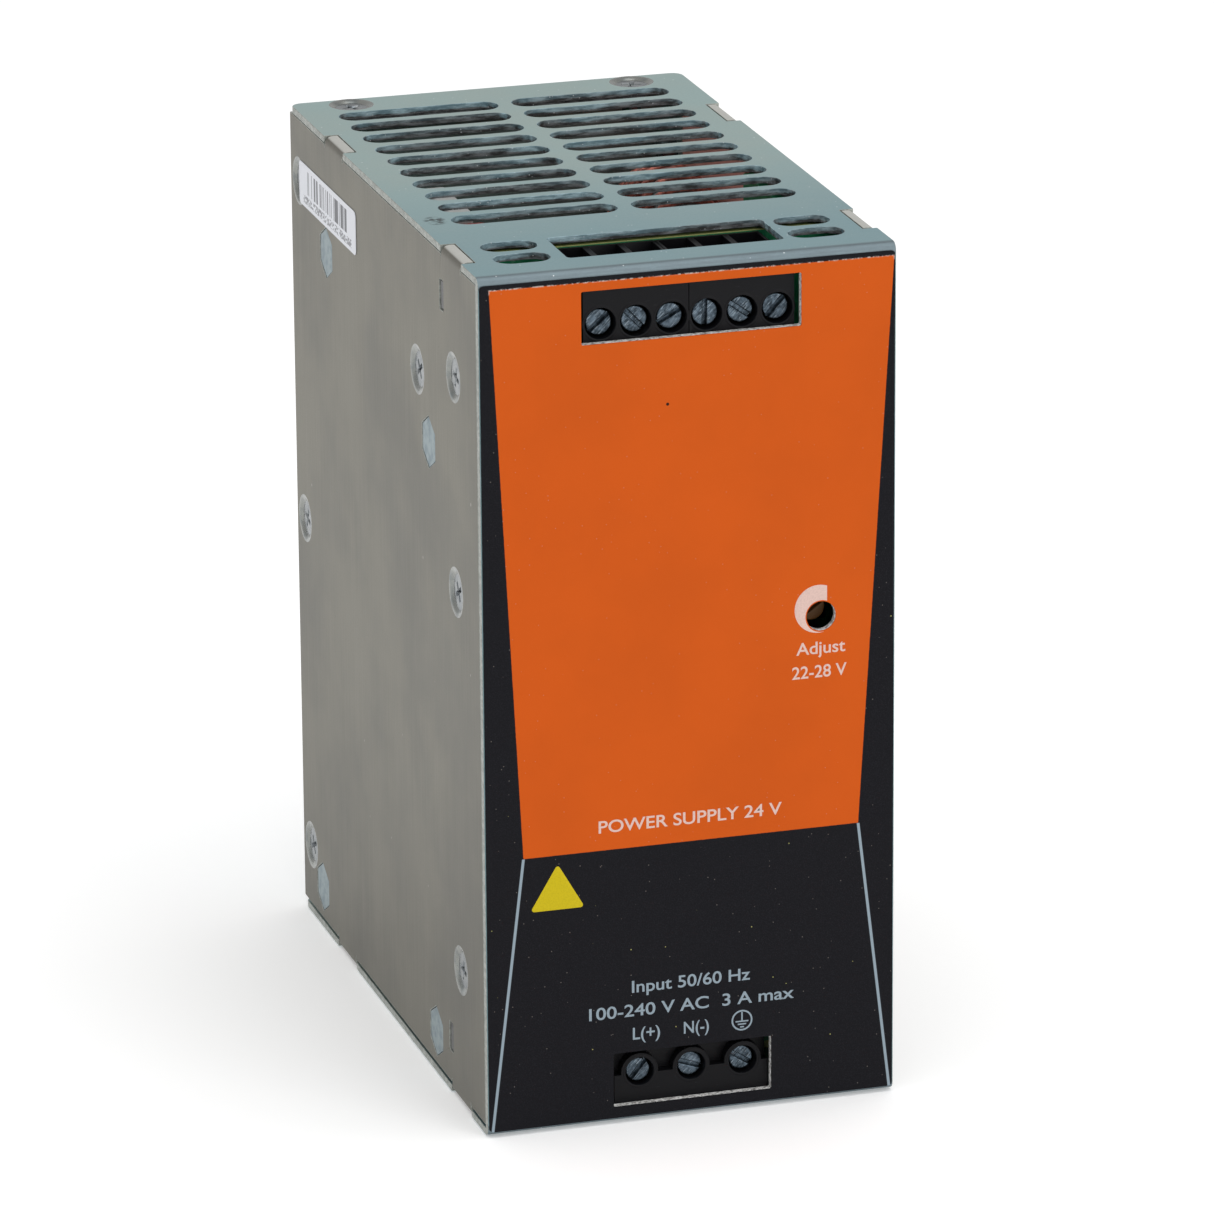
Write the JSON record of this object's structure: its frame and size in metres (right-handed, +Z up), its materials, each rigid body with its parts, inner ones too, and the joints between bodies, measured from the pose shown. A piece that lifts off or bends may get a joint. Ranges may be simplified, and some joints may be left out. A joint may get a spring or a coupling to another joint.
{
  "type": "din rail power supply",
  "caption": "Tall slim sheet-steel power supply with slotted top, printed orange front, recessed screw terminals and a spring-latched clip for a 35 mm rail.",
  "frame": {"origin": "middle of the underside of the bounding box", "axes": "+Z up with the case upright, +Y towards the rail clip at the back, -Y towards the printed front, +X to the right seen from the front"},
  "size_m": [0.0601, 0.1062, 0.125],
  "materials": {
    "chassis_zinc": "satin zinc-coated sheet",
    "side_steel": "warm grey zinc-coated sheet, lightly brushed",
    "clip_steel": "zinc-plated pressed steel",
    "bright_steel": "bright plated screw steel",
    "terminal_steel": "blue-grey passivated steel",
    "overlay_film": "printed polyester film",
    "label_paper": "white printed sticker",
    "black_moulding": "black moulded thermoplastic",
    "brass": "plated brass",
    "laminate": "green circuit board laminate",
    "trimmer_amber": "amber moulded rotor",
    "ferrite": "matt dark ferrite",
    "winding": "enamelled winding wire",
    "tape": "yellow winding tape",
    "sleeve": "dark shrink sleeve",
    "aluminium": "natural aluminium",
    "grey_box": "grey capacitor case",
    "red_box": "red capacitor case"
  },
  "bodies": {
    "case": {"front_chassis": "chassis_zinc", "left_side_panel": "side_steel", "right_side_panel": "side_steel", "rear_panel": "chassis_zinc", "front_overlay": "overlay_film", "side_label": "label_paper", "output_terminal_left": "black_moulding", "output_terminal_right": "black_moulding", "input_terminal": "black_moulding", "terminal_board": "laminate", "main_board": "laminate", "control_board": "laminate", "trimmer_body": "black_moulding", "rail_bracket": "clip_steel", "latch_spring": "bright_steel", "choke": "winding", "transformer_core": "ferrite", "transformer_winding": "tape", "bulk_capacitor": "sleeve", "output_capacitor_1": "sleeve", "output_capacitor_2": "sleeve", "heatsink": "aluminium", "rectifier_1": "black_moulding", "rectifier_2": "black_moulding", "heat_bracket": "aluminium", "line_filter_capacitor": "grey_box", "film_capacitor": "red_box", "left_panel_screw_1": "bright_steel", "left_panel_screw_2": "bright_steel", "left_panel_screw_3": "bright_steel", "left_panel_screw_4": "bright_steel", "left_panel_screw_5": "bright_steel", "left_panel_screw_6": "bright_steel", "left_panel_screw_7": "bright_steel", "top_screw_1": "bright_steel", "top_screw_2": "bright_steel", "press_stud_1": "chassis_zinc", "press_stud_2": "chassis_zinc", "press_stud_3": "chassis_zinc", "press_stud_4": "chassis_zinc"},
    "output_clamp_screw_1": {"output_clamp_screw_1": "terminal_steel"},
    "output_clamp_cage_1": {"output_clamp_cage_1": "brass"},
    "output_clamp_screw_2": {"output_clamp_screw_2": "terminal_steel"},
    "output_clamp_cage_2": {"output_clamp_cage_2": "brass"},
    "output_clamp_screw_3": {"output_clamp_screw_3": "terminal_steel"},
    "output_clamp_cage_3": {"output_clamp_cage_3": "brass"},
    "output_clamp_screw_4": {"output_clamp_screw_4": "terminal_steel"},
    "output_clamp_cage_4": {"output_clamp_cage_4": "brass"},
    "output_clamp_screw_5": {"output_clamp_screw_5": "terminal_steel"},
    "output_clamp_cage_5": {"output_clamp_cage_5": "brass"},
    "output_clamp_screw_6": {"output_clamp_screw_6": "terminal_steel"},
    "output_clamp_cage_6": {"output_clamp_cage_6": "brass"},
    "input_clamp_screw_1": {"input_clamp_screw_1": "terminal_steel"},
    "input_clamp_cage_1": {"input_clamp_cage_1": "brass"},
    "input_clamp_screw_2": {"input_clamp_screw_2": "terminal_steel"},
    "input_clamp_cage_2": {"input_clamp_cage_2": "brass"},
    "input_clamp_screw_3": {"input_clamp_screw_3": "terminal_steel"},
    "input_clamp_cage_3": {"input_clamp_cage_3": "brass"},
    "trimmer_rotor": {"trimmer_rotor": "trimmer_amber"},
    "rail_latch": {"rail_latch": "bright_steel"}
  },
  "joints": [
    {"name": "output_clamp_screw_1_turn", "type": "hinge", "parent": "case", "child": "output_clamp_screw_1", "pos_m": [-0.0123, -0.05087, 0.1169], "axis": [0, 1, 0], "range_deg": [0, 1921]},
    {"name": "output_clamp_cage_1_rise", "type": "slide", "parent": "case", "child": "output_clamp_cage_1", "axis": [0, -1, 0], "range_m": [0, 0.0024]},
    {"name": "output_clamp_screw_2_turn", "type": "hinge", "parent": "case", "child": "output_clamp_screw_2", "pos_m": [-0.00722, -0.05087, 0.1169], "axis": [0, 1, 0], "range_deg": [0, 1921]},
    {"name": "output_clamp_cage_2_rise", "type": "slide", "parent": "case", "child": "output_clamp_cage_2", "axis": [0, -1, 0], "range_m": [0, 0.0024]},
    {"name": "output_clamp_screw_3_turn", "type": "hinge", "parent": "case", "child": "output_clamp_screw_3", "pos_m": [-0.00214, -0.05087, 0.1169], "axis": [0, 1, 0], "range_deg": [0, 1921]},
    {"name": "output_clamp_cage_3_rise", "type": "slide", "parent": "case", "child": "output_clamp_cage_3", "axis": [0, -1, 0], "range_m": [0, 0.0024]},
    {"name": "output_clamp_screw_4_turn", "type": "hinge", "parent": "case", "child": "output_clamp_screw_4", "pos_m": [0.00294, -0.05087, 0.1169], "axis": [0, 1, 0], "range_deg": [0, 1921]},
    {"name": "output_clamp_cage_4_rise", "type": "slide", "parent": "case", "child": "output_clamp_cage_4", "axis": [0, -1, 0], "range_m": [0, 0.0024]},
    {"name": "output_clamp_screw_5_turn", "type": "hinge", "parent": "case", "child": "output_clamp_screw_5", "pos_m": [0.00802, -0.05087, 0.1169], "axis": [0, 1, 0], "range_deg": [0, 1921]},
    {"name": "output_clamp_cage_5_rise", "type": "slide", "parent": "case", "child": "output_clamp_cage_5", "axis": [0, -1, 0], "range_m": [0, 0.0024]},
    {"name": "output_clamp_screw_6_turn", "type": "hinge", "parent": "case", "child": "output_clamp_screw_6", "pos_m": [0.0131, -0.05087, 0.1169], "axis": [0, 1, 0], "range_deg": [0, 1921]},
    {"name": "output_clamp_cage_6_rise", "type": "slide", "parent": "case", "child": "output_clamp_cage_6", "axis": [0, -1, 0], "range_m": [0, 0.0024]},
    {"name": "input_clamp_screw_1_turn", "type": "hinge", "parent": "case", "child": "input_clamp_screw_1", "pos_m": [-0.00732, -0.05087, 0.0068], "axis": [0, 1, 0], "range_deg": [0, 1945]},
    {"name": "input_clamp_cage_1_rise", "type": "slide", "parent": "case", "child": "input_clamp_cage_1", "axis": [0, -1, 0], "range_m": [0, 0.0027]},
    {"name": "input_clamp_screw_2_turn", "type": "hinge", "parent": "case", "child": "input_clamp_screw_2", "pos_m": [0.0003, -0.05087, 0.0068], "axis": [0, 1, 0], "range_deg": [0, 1945]},
    {"name": "input_clamp_cage_2_rise", "type": "slide", "parent": "case", "child": "input_clamp_cage_2", "axis": [0, -1, 0], "range_m": [0, 0.0027]},
    {"name": "input_clamp_screw_3_turn", "type": "hinge", "parent": "case", "child": "input_clamp_screw_3", "pos_m": [0.00792, -0.05087, 0.0068], "axis": [0, 1, 0], "range_deg": [0, 1945]},
    {"name": "input_clamp_cage_3_rise", "type": "slide", "parent": "case", "child": "input_clamp_cage_3", "axis": [0, -1, 0], "range_m": [0, 0.0027]},
    {"name": "trimmer_turn", "type": "hinge", "parent": "case", "child": "trimmer_rotor", "pos_m": [0.0191, -0.04288, 0.0721], "axis": [0, 1, 0], "range_deg": [-135, 135]},
    {"name": "rail_latch_slide", "type": "slide", "parent": "case", "child": "rail_latch", "axis": [0, 0, -1], "range_m": [0, 0.004], "stiffness_N_per_m": 2500, "springref_m": -0.002, "deforming": ["latch_spring"]}
  ],
  "couplings": [
    {"joint": "output_clamp_screw_1_turn", "follows": "output_clamp_cage_1_rise", "rad_per_m": 13963},
    {"joint": "output_clamp_screw_2_turn", "follows": "output_clamp_cage_2_rise", "rad_per_m": 13963},
    {"joint": "output_clamp_screw_3_turn", "follows": "output_clamp_cage_3_rise", "rad_per_m": 13963},
    {"joint": "output_clamp_screw_4_turn", "follows": "output_clamp_cage_4_rise", "rad_per_m": 13963},
    {"joint": "output_clamp_screw_5_turn", "follows": "output_clamp_cage_5_rise", "rad_per_m": 13963},
    {"joint": "output_clamp_screw_6_turn", "follows": "output_clamp_cage_6_rise", "rad_per_m": 13963},
    {"joint": "input_clamp_screw_1_turn", "follows": "input_clamp_cage_1_rise", "rad_per_m": 12566},
    {"joint": "input_clamp_screw_2_turn", "follows": "input_clamp_cage_2_rise", "rad_per_m": 12566},
    {"joint": "input_clamp_screw_3_turn", "follows": "input_clamp_cage_3_rise", "rad_per_m": 12566}
  ]
}
